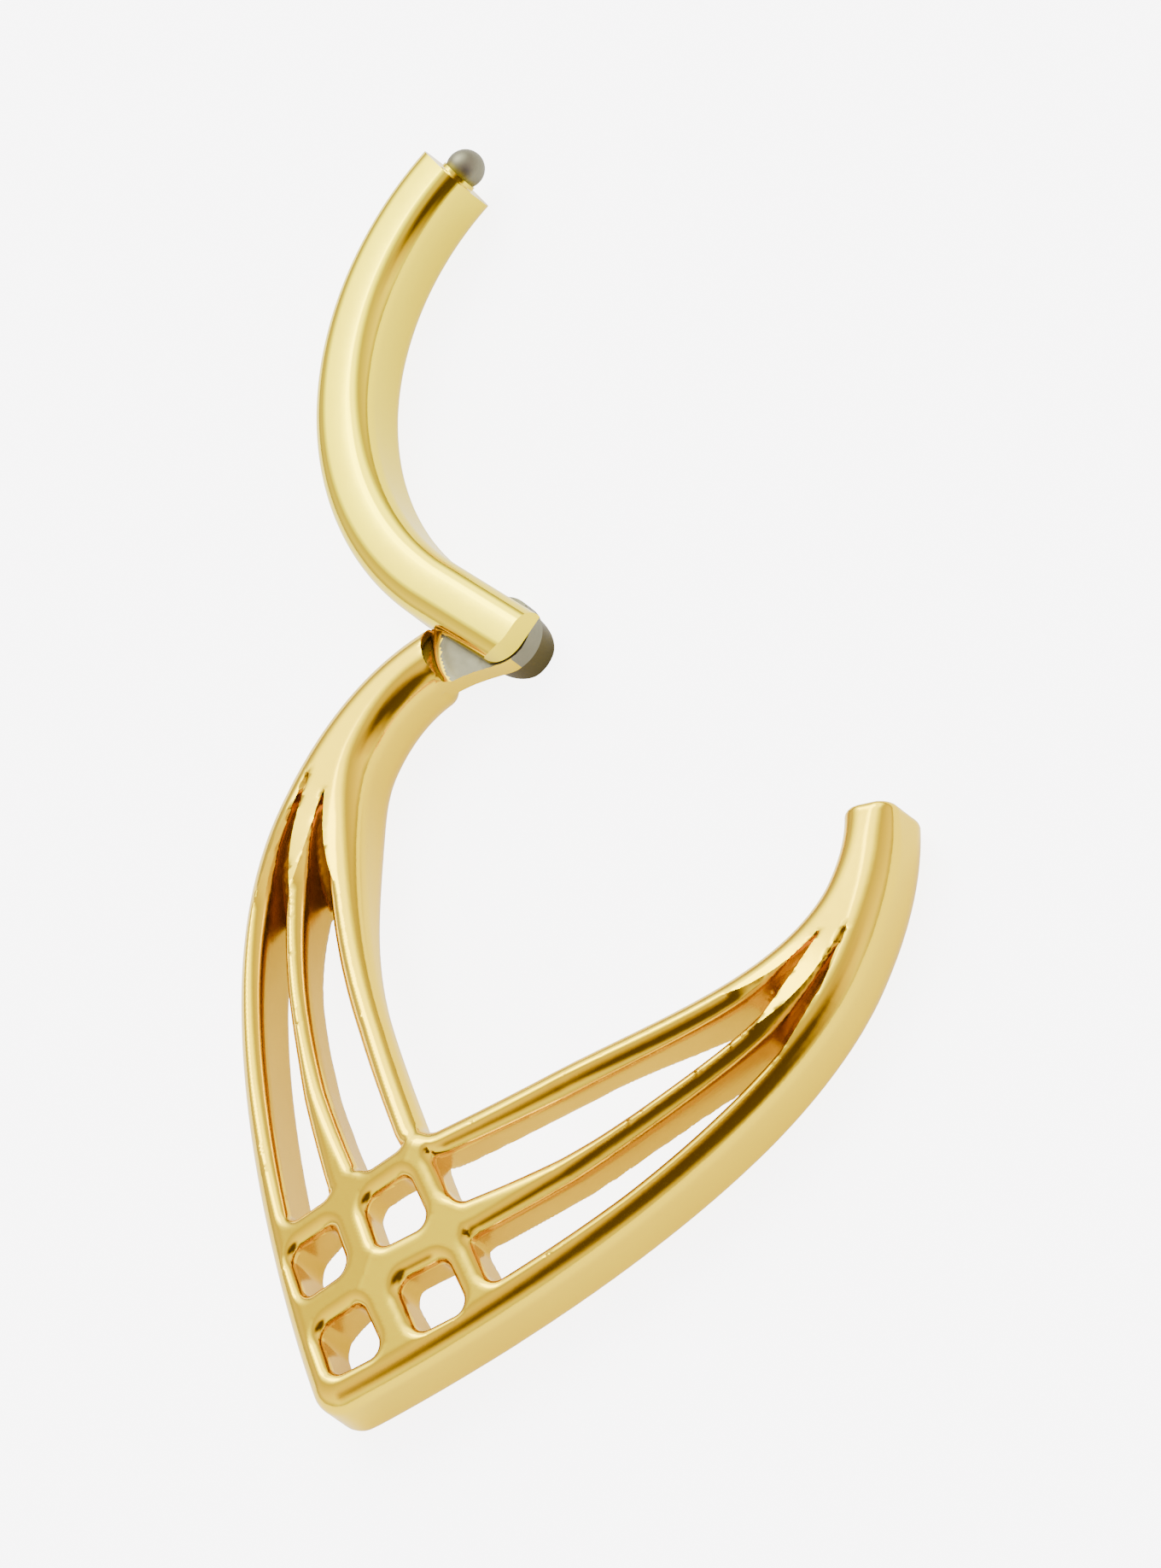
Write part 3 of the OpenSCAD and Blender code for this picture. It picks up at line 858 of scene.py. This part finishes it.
    def build(self, finishes: Finishes) -> bpy.types.Object:
        """Makes the front's piece: gold, with shade painted on the walls of its openings as a darker gold,
        and a bare tongue.

        Args:
            finishes: The ring's materials.

        Returns:
            The piece.
        """
        step = self.step * 1.0
        contour = Contour(*self.room, step)
        axes = [contour.axis(k) for k in range(3)]
        values = self.solid(self.grid_plane(axes[0], axes[1]), axes[2][None, :])
        points, faces = contour.mesh(values.reshape(contour.count), self.distance)
        mesh = bpy.data.meshes.new("lattice_front")
        mesh.from_pydata(to_frame(points).tolist(), [], faces.tolist())
        mesh.update()
        mesh.shade_smooth()
        mesh.set_sharp_from_angle(angle=math.radians(self.sharp))
        # The third slot is the darker gold that paints shade on the openings' walls.
        for metal in (Metal.FRONT, Metal.STEEL, Metal.DEEP):
            mesh.materials.append(finishes.get(metal))
        self.finish_faces(mesh, points[faces].mean(axis=1))
        piece = new_piece("lattice_front", mesh)
        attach(piece, "front")
        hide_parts("front_frame")
        return piece


class BarSweep:
    """Geometry Nodes tree of a rounded bar that follows an arc and then runs straight on."""

    INPUTS = (
        ("Radius", "NodeSocketFloat"),
        ("Start", "NodeSocketFloat"),
        ("Sweep", "NodeSocketFloat"),
        ("Straight", "NodeSocketFloat"),
        ("Width", "NodeSocketFloat"),
        ("Thickness", "NodeSocketFloat"),
        ("Rounding", "NodeSocketFloat"),
        ("Centre", "NodeSocketVector"),
        ("Steps", "NodeSocketInt"),
        ("Finish", "NodeSocketMaterial"),
    )
    CORNER_STEPS = 12

    def __init__(self) -> None:
        """Builds the tree."""
        self.tree = bpy.data.node_groups.new("bar_sweep", "GeometryNodeTree")
        self.tree.interface.new_socket(name="Geometry", in_out="OUTPUT", socket_type="NodeSocketGeometry")
        self.names = {
            name: self.tree.interface.new_socket(name=name, in_out="INPUT", socket_type=kind).identifier
            for name, kind in self.INPUTS
        }
        graph = Graph(self.tree)
        given = graph.add("NodeGroupInput").outputs
        line = graph.add("GeometryNodeMeshLine", {"Count": given["Steps"]})
        curve = graph.add("GeometryNodeMeshToCurve", {"Mesh": line.outputs["Mesh"]})
        placed = graph.add("GeometryNodeSetPosition", {
            "Geometry": curve.outputs["Curve"], "Position": self.path(graph, given),
        })
        upright = graph.add("GeometryNodeSetCurveNormal", {"Curve": placed.outputs["Geometry"]}, mode="Z_UP")
        shape = graph.add("GeometryNodeCurvePrimitiveQuadrilateral", {
            "Width": given["Width"], "Height": given["Thickness"],
        })
        fillet = graph.add("GeometryNodeFilletCurve", {
            "Curve": shape.outputs["Curve"], "Radius": given["Rounding"], "Count": self.CORNER_STEPS,
        }, mode="POLY")
        sweep = graph.add("GeometryNodeCurveToMesh", {
            "Curve": upright.outputs["Curve"], "Profile Curve": fillet.outputs["Curve"], "Fill Caps": True,
        })
        real = graph.add("GeometryNodeRealizeInstances", {"Geometry": sweep.outputs["Mesh"]})
        dressed = graph.add("GeometryNodeSetMaterial", {
            "Geometry": real.outputs["Geometry"], "Material": given["Finish"],
        })
        graph.add("NodeGroupOutput", {"Geometry": dressed.outputs["Geometry"]})

    @staticmethod
    def path(graph: Graph, given: bpy.types.NodeOutputs) -> bpy.types.NodeSocket:
        """Place of each point of the path: round the arc, then straight on along its tangent.

        Args:
            graph: The tree that is written.
            given: The tree's inputs.

        Returns:
            The place.
        """
        index = graph.add("GeometryNodeInputIndex").outputs[0]
        arc = graph.math("MULTIPLY", given["Radius"], given["Sweep"])
        long = graph.math("ADD", arc, given["Straight"])
        part = graph.math("DIVIDE", index, graph.math("SUBTRACT", given["Steps"], 1.0))
        run = graph.math("MULTIPLY", part, long)
        turn = graph.math("DIVIDE", graph.math("MINIMUM", run, arc), given["Radius"])
        angle = graph.math("ADD", given["Start"], turn)
        extra = graph.math("MAXIMUM", graph.math("SUBTRACT", run, arc), 0.0)
        cosine, sine = graph.math("COSINE", angle), graph.math("SINE", angle)
        across = graph.math("MULTIPLY", given["Radius"], cosine)
        along = graph.math("MULTIPLY", given["Radius"], sine)
        x = graph.math("SUBTRACT", across, graph.math("MULTIPLY", extra, sine))
        y = graph.math("ADD", along, graph.math("MULTIPLY", extra, cosine))
        flat = graph.add("ShaderNodeCombineXYZ", {"X": x, "Y": y}).outputs["Vector"]
        return graph.vector("ADD", flat, given["Centre"]).outputs["Vector"]

    def mesh(self, name: str, values: dict[str, object]) -> bpy.types.Mesh:
        """Plain mesh of the bar.

        Args:
            name: Name of the mesh.
            values: The tree's inputs, by name.

        Returns:
            The mesh, with nothing left live on it.
        """
        carrier = new_piece("carrier", bpy.data.meshes.new("carrier"))
        modifier = carrier.modifiers.new("sweep", "NODES")
        modifier.node_group = self.tree
        for key, value in values.items():
            modifier[self.names[key]] = value
        made = evaluated(carrier)
        bpy.data.objects.remove(carrier)
        made.name = name
        return made


def evaluated(piece: bpy.types.Object) -> bpy.types.Mesh:
    """Plain copy of what a piece's modifiers make.

    Args:
        piece: The object with its modifiers.

    Returns:
        The mesh.
    """
    graph = bpy.context.evaluated_depsgraph_get()
    graph.update()
    made = piece.evaluated_get(graph)
    return bpy.data.meshes.new_from_object(made, preserve_all_data_layers=True, depsgraph=graph)


def prism(shape: np.ndarray, low: float, high: float) -> bpy.types.Object:
    """A block with a given plan, between two heights, to cut with.

    Args:
        shape: The plan's corners.
        low: Height of its foot.
        high: Height of its top.

    Returns:
        The block.
    """
    count = len(shape)
    points = [(*p, z) for z in (low, high) for p in shape]
    sides = [(k, (k + 1) % count, count + (k + 1) % count, count + k) for k in range(count)]
    faces = [tuple(range(count - 1, -1, -1)), tuple(range(count, 2 * count)), *sides]
    mesh = bpy.data.meshes.new("cutter")
    mesh.from_pydata(to_frame(np.array(points)).tolist(), [], faces)
    return new_piece("cutter", mesh)


def disc(centre: np.ndarray, r: float, count: int = 96) -> np.ndarray:
    """Plan of a round block."""
    return np.array([centre + r * heading(a) for a in np.arange(count) * 360 / count])


def cut(mesh: bpy.types.Mesh, cutters: list[bpy.types.Object]) -> bpy.types.Mesh:
    """The mesh less the cutters, which are used up.

    Args:
        mesh: What is cut.
        cutters: The blocks that are taken off.

    Returns:
        What is left of the mesh.
    """
    piece = new_piece("cut", mesh)
    for k, cutter in enumerate(cutters):
        modifier = piece.modifiers.new(f"cut_{k}", "BOOLEAN")
        modifier.operation = "DIFFERENCE"
        modifier.solver = "EXACT"
        modifier.object = cutter
    made = evaluated(piece)
    for used in (piece, *cutters):
        bpy.data.objects.remove(used)
    return made


@dataclass
class Gate:
    """The curved wearing bar with its two hinge ears."""

    hinge: Hinge
    wide: float = 1.0
    rounding: float = 0.33
    steps: int = 221
    sharp: float = 32.0
    flat_limit: float = 0.5

    def local(self, shape: list[tuple[float, float]]) -> np.ndarray:
        """A plan drawn about the pin, along the gate, in the plane of the ring.

        Args:
            shape: The plan's corners, along and across.

        Returns:
            The corners in the plane.
        """
        run = heading(self.hinge.straight_heading + 90)
        side = np.array([-run[1], run[0]])
        return np.array([np.array(self.hinge.pin) + x * run + y * side for x, y in shape])

    def cutters(self) -> list[bpy.types.Object]:
        """What is taken off the swept bar: the ears' corners, the slot and the pin's hole.

        Returns:
            The blocks that cut it.
        """
        hinge = self.hinge
        half = [(0.0, -PAST), (PAST, -PAST), (PAST, PAST), (0.0, PAST)]
        turns = np.linspace(np.pi / 2, -np.pi / 2, 49)
        back = [*half, *((hinge.ear_r * math.cos(a), hinge.ear_r * math.sin(a)) for a in turns)]
        turns = np.linspace(0, np.pi / 2, 25)
        front = [(hinge.ear_over * math.cos(a), -hinge.ear_over * math.sin(a)) for a in turns]
        front = [(0.0, -PAST), (PAST, -PAST), (PAST, LAP), *front]
        low, high = hinge.tongue_low - hinge.side_gap, hinge.tongue_high + hinge.side_gap
        end = np.array([-ARM_END[0], ARM_END[1]])
        run = heading(-ARM_HEADING)
        side = np.array([-run[1], run[0]]) * (ARM_HALF + 2 * hinge.side_gap)
        strip = np.array([end - side, end + PAST * run - side, end + PAST * run + side, end + side])
        pin = np.array(hinge.pin)
        return [
            prism(self.local(back), -PAST, hinge.tongue_low),
            prism(self.local(front), hinge.tongue_high, PAST),
            prism(strip, low, high),
            prism(disc(pin, hinge.tongue_r + 2 * hinge.side_gap), low, high),
            prism(self.local(half), low, high),
            prism(disc(pin, hinge.pin_r + LAP, 64), -PAST, hinge.tongue_high + hinge.pin_blind),
        ]

    def build(self, finishes: Finishes) -> bpy.types.Object:
        """Makes the gate's piece.

        Args:
            finishes: The ring's materials.

        Returns:
            The piece.
        """
        hinge = self.hinge
        centre = to_frame(np.array([*hinge.centre, BAR_THICK / 2]))
        swept = BarSweep().mesh("gate_bar", {
            "Radius": hinge.gate_radius * MM,
            "Start": math.radians(hinge.end_heading),
            "Sweep": math.radians(hinge.straight_heading - hinge.end_heading),
            "Straight": (hinge.straight_long + hinge.ear_over) * MM,
            "Width": self.wide * MM,
            "Thickness": BAR_THICK * MM,
            "Rounding": self.rounding * MM,
            "Centre": tuple(float(v) for v in centre),
            "Steps": self.steps,
            "Finish": finishes.get(Metal.GATE),
        })
        mesh = cut(swept, self.cutters())
        mesh.name = "gate_bar"
        mesh.shade_smooth()
        mesh.set_sharp_from_angle(angle=math.radians(self.sharp))
        # The back ear's round side gets the near-black finish as painted shade.
        mesh.materials.append(finishes.get(Metal.DARK))
        pin = to_frame(np.array([*hinge.pin, hinge.tongue_low]))
        for face in mesh.polygons:
            away = math.hypot(face.center[0] - pin[0], face.center[1] - pin[1])
            ear_shade_face = face.center[2] < pin[2] and away < (hinge.ear_r + 2 * LAP) * MM
            face.material_index = int(ear_shade_face and abs(face.normal[2]) < self.flat_limit)
        piece = new_piece("gate_bar", mesh)
        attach(piece, "gate")
        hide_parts("gate")
        return piece


def turned(name: str, profile: list[tuple[float, float]], place: Matrix, count: int = 72) -> bpy.types.Mesh:
    """A turned part: a profile spun about its own axis.

    Args:
        name: Name of the mesh.
        profile: Radius and height of each point, from one end of the axis to the other.
        place: Where the axis goes, in millimetres from the lattice's centre.
        count: Steps round the axis.

    Returns:
        The closed mesh.
    """
    made = bmesh.new()
    rings = []
    for r, z in profile:
        turns = [math.tau * k / count for k in range(count)] if r > 0 else [0.0]
        spots = [place @ Vector((r * math.cos(a), r * math.sin(a), z)) for a in turns]
        rings.append([made.verts.new(to_frame(np.array(p))) for p in spots])
    for a, b in zip(rings, rings[1:]):
        for k in range(count):
            ring = [a[k % len(a)], a[(k + 1) % len(a)], b[(k + 1) % len(b)], b[k % len(b)]]
            made.faces.new(list(dict.fromkeys(ring)))
    bmesh.ops.recalc_face_normals(made, faces=made.faces)
    mesh = bpy.data.meshes.new(name)
    made.to_mesh(mesh)
    made.free()
    mesh.shade_smooth()
    mesh.set_sharp_from_angle(angle=math.radians(50))
    return mesh


@dataclass
class Pins:
    """The hinge pin, and the ball on its collar at the gate's free end."""

    hinge: Hinge
    soft: float = 0.03

    def hinge_pin(self, finishes: Finishes) -> bpy.types.Object:
        """Makes the hinge pin, with softened ends.

        Args:
            finishes: The ring's materials.

        Returns:
            The piece.
        """
        hinge = self.hinge
        low, high, r = LAP, hinge.tongue_high + hinge.pin_blind - LAP, hinge.pin_r
        profile = [(0.0, low), (r - self.soft, low), (r, low + self.soft), (r, high - self.soft)]
        profile += [(r - self.soft, high), (0.0, high)]
        mesh = turned("hinge_rivet", profile, Matrix.Translation((*hinge.pin, 0.0)))
        mesh.materials.append(finishes.get(Metal.STEEL))
        return self.settle("hinge_rivet", mesh, "hinge_pin")

    def catch_pin(self, finishes: Finishes) -> bpy.types.Object:
        """Makes the ball with its neck and the gold collar below it.

        Args:
            finishes: The ring's materials.

        Returns:
            The piece.
        """
        hinge = self.hinge
        low = -math.asin((hinge.ball_out - hinge.collar_high) / hinge.ball_r)
        profile = [(0.0, -hinge.neck_sunk), (hinge.neck_r, -hinge.neck_sunk), (hinge.neck_r, LAP)]
        profile += [(hinge.collar_r, LAP), (hinge.collar_r, hinge.collar_high)]
        profile += [
            (max(hinge.ball_r * math.cos(a), 0.0), hinge.ball_out + hinge.ball_r * math.sin(a))
            for a in np.linspace(low, math.pi / 2, 24)[:-1]
        ]
        profile.append((0.0, hinge.ball_out + hinge.ball_r))
        place = Matrix.Translation((*hinge.gate_end, BAR_THICK / 2))
        place = place @ Matrix.Rotation(math.radians(hinge.gate_end_out), 4, "Z")
        place = place @ Matrix.Rotation(math.pi / 2, 4, "Y")
        mesh = turned("catch_ball", profile, place)
        mesh.materials.append(finishes.get(Metal.STEEL))
        mesh.materials.append(finishes.get(Metal.GATE))
        out = Vector((*heading(hinge.gate_end_out), 0.0))
        start = Vector(to_frame(np.array([*hinge.gate_end, BAR_THICK / 2])))
        for face in mesh.polygons:
            face.material_index = int((face.center - start).dot(out) < (hinge.collar_high + LAP) * MM)
        return self.settle("catch_ball", mesh, "catch_pin")

    @staticmethod
    def settle(name: str, mesh: bpy.types.Mesh, node: str) -> bpy.types.Object:
        """Puts a pin on the gate in place of its solid.

        Args:
            name: The piece's name.
            mesh: Its mesh.
            node: The solid that it replaces.

        Returns:
            The piece.
        """
        piece = new_piece(name, mesh)
        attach(piece, "gate")
        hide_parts(node)
        return piece


@dataclass
class Studio:
    """Camera, pale floor and soft light."""

    right: tuple[float, float, float] = (0.740, 0.409, -0.534)
    up: tuple[float, float, float] = (-0.209, 0.895, 0.395)
    back: tuple[float, float, float] = (0.639, -0.180, 0.748)
    middle: tuple[float, float, float] = (0.713, -0.027, 2.444)
    away: float = 333.2
    frame_high: float = 23.155
    WHITE = (1.0, 1.0, 1.0)
    AMBER = (1.0, 0.84, 0.9)
    GLOW_WAY = (-0.45, 0.55, 0.70)
    GLOW = (
        (-1.0, 0.6, WHITE), (0.2, 0.45, AMBER), (0.74, 0.26, AMBER), (0.84, 0.5, WHITE), (0.92, 1.1, WHITE),
    )
    LOW = ((-1.0, 0.45, WHITE), (0.02, 0.45, WHITE), (0.3, 1.0, WHITE))
    SHADE_WAY = (0.62, -0.38, 0.69)
    SHADE = (
        (-1.0, 1.0, WHITE), (0.7, 1.0, WHITE), (0.82, 0.72, (1.0, 0.9, 1.0)),
        (0.9, 0.32, (1.0, 0.75, 1.5)), (0.96, 0.06, (1.0, 0.7, 2.0)),
    )
    SKY_LIGHT = 4.2
    DRIFT = (0.3, -0.14)
    FLOOR_LIGHT = 0.8
    FLOOR_SHOWN = 5.1
    FLOOR_FAR = 3.0
    SENSOR = 36.0

    def camera(self) -> None:
        """Makes the camera at the photograph's angle."""
        lens = bpy.data.cameras.new("camera")
        lens.sensor_fit = "VERTICAL"
        lens.sensor_height = self.SENSOR
        lens.lens = self.SENSOR * self.away / self.frame_high
        lens.clip_start = 0.01
        lens.clip_end = 5.0
        eye = bpy.data.objects.new("camera", lens)
        spot = (Vector(self.middle) + self.away * Vector(self.back).normalized()) * MM
        axes = [Vector(v).normalized() for v in (self.right, self.up, self.back)]
        turn = Matrix([[axes[c][r] for c in range(3)] for r in range(3)]).to_4x4()
        eye.matrix_world = Matrix.Translation(spot) @ turn
        bpy.context.scene.collection.objects.link(eye)
        bpy.context.scene.camera = eye

    def floor(self) -> None:
        """Lays the pale floor that the ring lies on."""
        mesh = bpy.data.meshes.new("floor")
        far = self.FLOOR_FAR
        corners = [(-far, -far, 0), (far, -far, 0), (far, far, 0), (-far, far, 0)]
        mesh.from_pydata(corners, [], [(0, 1, 2, 3)])
        ground = new_piece("floor", mesh)
        paper = bpy.data.materials.new("pale_floor")
        paper.use_nodes = True
        shader = paper.node_tree.nodes["Principled BSDF"]
        shader.inputs["Base Color"].default_value = (0.9, 0.9, 0.9, 1.0)
        shader.inputs["Roughness"].default_value = 0.9
        shader.inputs["Specular IOR Level"].default_value = 0.0
        shader.inputs["Emission Color"].default_value = (1.0, 1.0, 1.0, 1.0)
        graph = Graph(paper.node_tree)
        seen = graph.add("ShaderNodeLightPath").outputs["Is Camera Ray"]
        light = graph.math("MULTIPLY_ADD", seen, self.FLOOR_SHOWN, self.FLOOR_LIGHT)
        graph.feed(shader.inputs["Emission Strength"], light)
        mesh.materials.append(paper)

    def sky(self) -> None:
        """Surrounds the ring with soft light: a pale side, a dim rim and a dark card near the camera."""
        world = bpy.data.worlds.new("soft_room")
        bpy.context.scene.world = world
        world.use_nodes = True
        graph = Graph(world.node_tree)
        place = graph.add("ShaderNodeTexCoord").outputs["Generated"]
        level = graph.add("ShaderNodeSeparateXYZ", {0: place}).outputs["Z"]
        drift = graph.add("ShaderNodeTexNoise", {"Vector": place, "Scale": 1.6, "Detail": 1.0})
        shift = graph.math("MULTIPLY_ADD", drift.outputs["Fac"], *self.DRIFT)
        light = self.ramp(graph, self.toward(graph, place, self.GLOW_WAY, 0.0), self.GLOW)
        shade = self.ramp(graph, self.toward(graph, place, self.SHADE_WAY, shift), self.SHADE)
        low = self.ramp(graph, graph.math("ADD", level, shift), self.LOW)
        background = world.node_tree.nodes["Background"]
        both = graph.vector("MULTIPLY", light, low).outputs["Vector"]
        graph.feed(background.inputs["Color"], graph.vector("MULTIPLY", both, shade).outputs["Vector"])
        background.inputs["Strength"].default_value = self.SKY_LIGHT

    @staticmethod
    def toward(
        graph: Graph, place: bpy.types.NodeSocket, way: tuple[float, float, float], shift: object
    ) -> bpy.types.NodeSocket:
        """How nearly a direction of the sky agrees with a given way, from -1 to 1, with a shift."""
        agreed = graph.vector("DOT_PRODUCT", place, Vector(way).normalized()).outputs["Value"]
        return graph.math("ADD", agreed, shift)

    @staticmethod
    def ramp(graph: Graph, value: bpy.types.NodeSocket, stops: tuple[tuple, ...]) -> bpy.types.NodeSocket:
        """Light that follows a value from -1 to 1 through stops, each a place, a level and a tint.

        Args:
            graph: The tree that is written.
            value: The value.
            stops: The stops, in rising order.

        Returns:
            The light's colour.
        """
        node = graph.add("ShaderNodeValToRGB")
        elements = node.color_ramp.elements
        while len(elements) < len(stops):
            elements.new(0.5)
        for element, (where, light, tint) in zip(elements, stops):
            element.position = where / 2 + 0.5
            element.color = (*(light * part for part in tint), 1.0)
        graph.feed(node.inputs["Fac"], graph.math("MULTIPLY_ADD", value, 0.5, 0.5))
        return node.outputs["Color"]

    def lamp(self, name: str, spot: tuple[float, float, float], size: float, light: float) -> None:
        """Adds a soft square lamp that looks at the ring.

        Args:
            name: Name of the lamp.
            spot: Its place, in millimetres.
            size: Length of its side, in millimetres.
            light: How bright its face is.
        """
        data = bpy.data.lights.new(name, "AREA")
        data.size = size * MM
        data.energy = light * math.pi * (size * MM) ** 2
        lamp = bpy.data.objects.new(name, data)
        lamp.location = Vector(spot) * MM
        lamp.rotation_euler = (-Vector(spot)).to_track_quat("-Z", "Y").to_euler()
        bpy.context.scene.collection.objects.link(lamp)


def main() -> None:
    """Builds the studio and then the ring, piece by piece."""
    logging.basicConfig(level=logging.INFO, format="%(name)s: %(message)s")
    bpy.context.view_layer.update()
    studio = Studio()
    studio.camera()
    studio.floor()
    studio.sky()
    studio.lamp("key_light", (-160.0, 120.0, 220.0), 120.0, 6.0)
    finishes = Finishes()
    hinge = Hinge()
    pins = Pins(hinge)
    makers = (LatticeFront(hinge).build, Gate(hinge).build, pins.hinge_pin, pins.catch_pin)
    for make in makers:
        piece = make(finishes)
        LOG.info("%s: %d faces", piece.name, len(piece.data.polygons))


if __name__ == "__main__":
    main()
